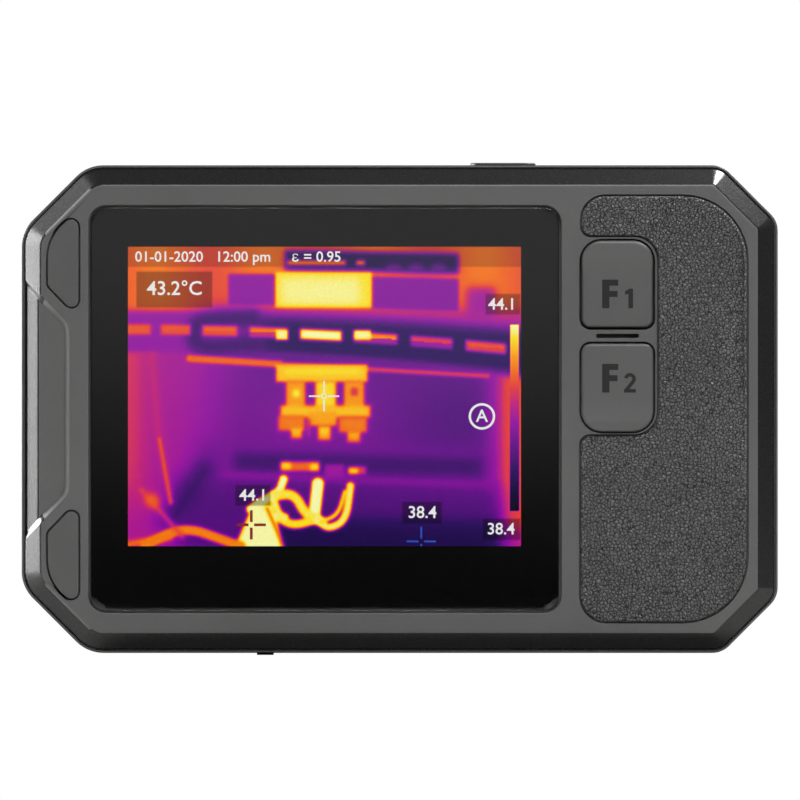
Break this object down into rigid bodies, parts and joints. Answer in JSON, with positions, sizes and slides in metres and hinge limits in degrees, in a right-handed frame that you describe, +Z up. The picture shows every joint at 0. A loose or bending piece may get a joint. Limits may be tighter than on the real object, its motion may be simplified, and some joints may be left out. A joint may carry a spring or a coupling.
{
  "type": "thermal imaging camera",
  "caption": "Pocket thermal imaging camera: dark chamfered case, touch screen, two function keys beside a grained grip pad, germanium lens on the back.",
  "frame": {"origin": "middle of the bottom of the bounding box, below the middle of the case, at the lowest point of the port cover's lip", "axes": "+X to the right as seen from the screen, +Y from the screen towards the lens, +Z up"},
  "size_m": [0.1346, 0.024, 0.0876],
  "materials": {
    "bezel_plastic": "fine-grained dark grey moulded plastic",
    "housing_plastic": "fine-grained dark grey moulded plastic",
    "plug_plastic": "smooth dark grey plastic",
    "key_plastic": "satin dark grey plastic with dark printed legends",
    "panel_plastic": "gloss black plastic",
    "black_plastic": "matt black plastic",
    "grip_rubber": "leather-grained dark grey rubber",
    "cover_rubber": "matt black rubber",
    "silicone": "translucent grey silicone",
    "cover_glass": "black-backed cover glass",
    "window_glass": "clear glass",
    "torch_lens_plastic": "clear diffusing plastic",
    "lcd_module": "colour display module",
    "white_film": "white light-guide plastic",
    "steel": "plain steel",
    "aluminium": "cast aluminium",
    "black_aluminium": "black anodised aluminium",
    "brass": "turned brass",
    "circuit_board": "green circuit board",
    "cell": "lithium cell in a foil pouch",
    "ceramic": "ceramic sensor package with a dark window",
    "germanium": "coated germanium"
  },
  "bodies": {
    "case": {"screen_bezel": "bezel_plastic", "rear_housing": "housing_plastic", "case_gasket": "cover_rubber", "touch_glass": "cover_glass", "lcd_panel": "lcd_module", "backlight_unit": "white_film", "display_bracket": "steel", "grip_pad": "grip_rubber", "screw_plug_upper": "plug_plastic", "screw_plug_lower": "plug_plastic", "key_mat": "silicone", "key_board": "circuit_board", "key_switch_f1": "steel", "key_switch_f2": "steel", "power_switch": "steel", "main_board": "circuit_board", "processor_shield": "steel", "wifi_module": "steel", "battery": "cell", "battery_pad": "cover_rubber", "speaker": "black_plastic", "ir_core_housing": "aluminium", "ir_detector": "ceramic", "shutter_motor": "steel", "lens_barrel": "black_aluminium", "germanium_front_lens": "germanium", "germanium_rear_lens": "germanium", "lens_retainer": "black_aluminium", "lens_seal": "cover_rubber", "lens_ring": "black_aluminium", "lens_panel": "panel_plastic", "visible_camera": "black_plastic", "camera_window": "window_glass", "torch_led": "white_film", "torch_lens": "torch_lens_plastic", "usb_socket": "steel", "usb_tongue": "black_plastic", "tripod_insert": "brass", "case_screw_1": "steel", "case_screw_2": "steel", "case_screw_3": "steel", "case_screw_4": "steel", "bracket_screw_1": "steel", "bracket_screw_2": "steel", "bracket_screw_3": "steel", "bracket_screw_4": "steel", "board_screw_1": "steel", "board_screw_2": "steel", "board_screw_3": "steel", "board_screw_4": "steel", "core_screw_1": "steel", "core_screw_2": "steel"},
    "f1_key": {"button_f1": "key_plastic"},
    "f2_key": {"button_f2": "key_plastic"},
    "power_key": {"power_button": "black_plastic"},
    "port_flap": {"port_cover": "cover_rubber"},
    "shutter": {"shutter_blade": "black_aluminium"}
  },
  "joints": [
    {"name": "f1_press", "type": "slide", "parent": "case", "child": "f1_key", "axis": [0, 1, 0], "range_m": [0, 0.0005], "stiffness_N_per_m": 600},
    {"name": "f2_press", "type": "slide", "parent": "case", "child": "f2_key", "axis": [0, 1, 0], "range_m": [0, 0.0005], "stiffness_N_per_m": 600},
    {"name": "power_press", "type": "slide", "parent": "case", "child": "power_key", "axis": [0, 0, -1], "range_m": [0, 0.00035], "stiffness_N_per_m": 600},
    {"name": "port_cover_swing", "type": "hinge", "parent": "case", "child": "port_flap", "pos_m": [-0.0374, 0.0003, 0.00076], "axis": [0, 1, 0], "range_deg": [0, 100]},
    {"name": "shutter_swing", "type": "hinge", "parent": "case", "child": "shutter", "pos_m": [-0.0165, 0.0039, 0.05726], "axis": [0, 1, 0], "range_deg": [0, 45]}
  ]
}
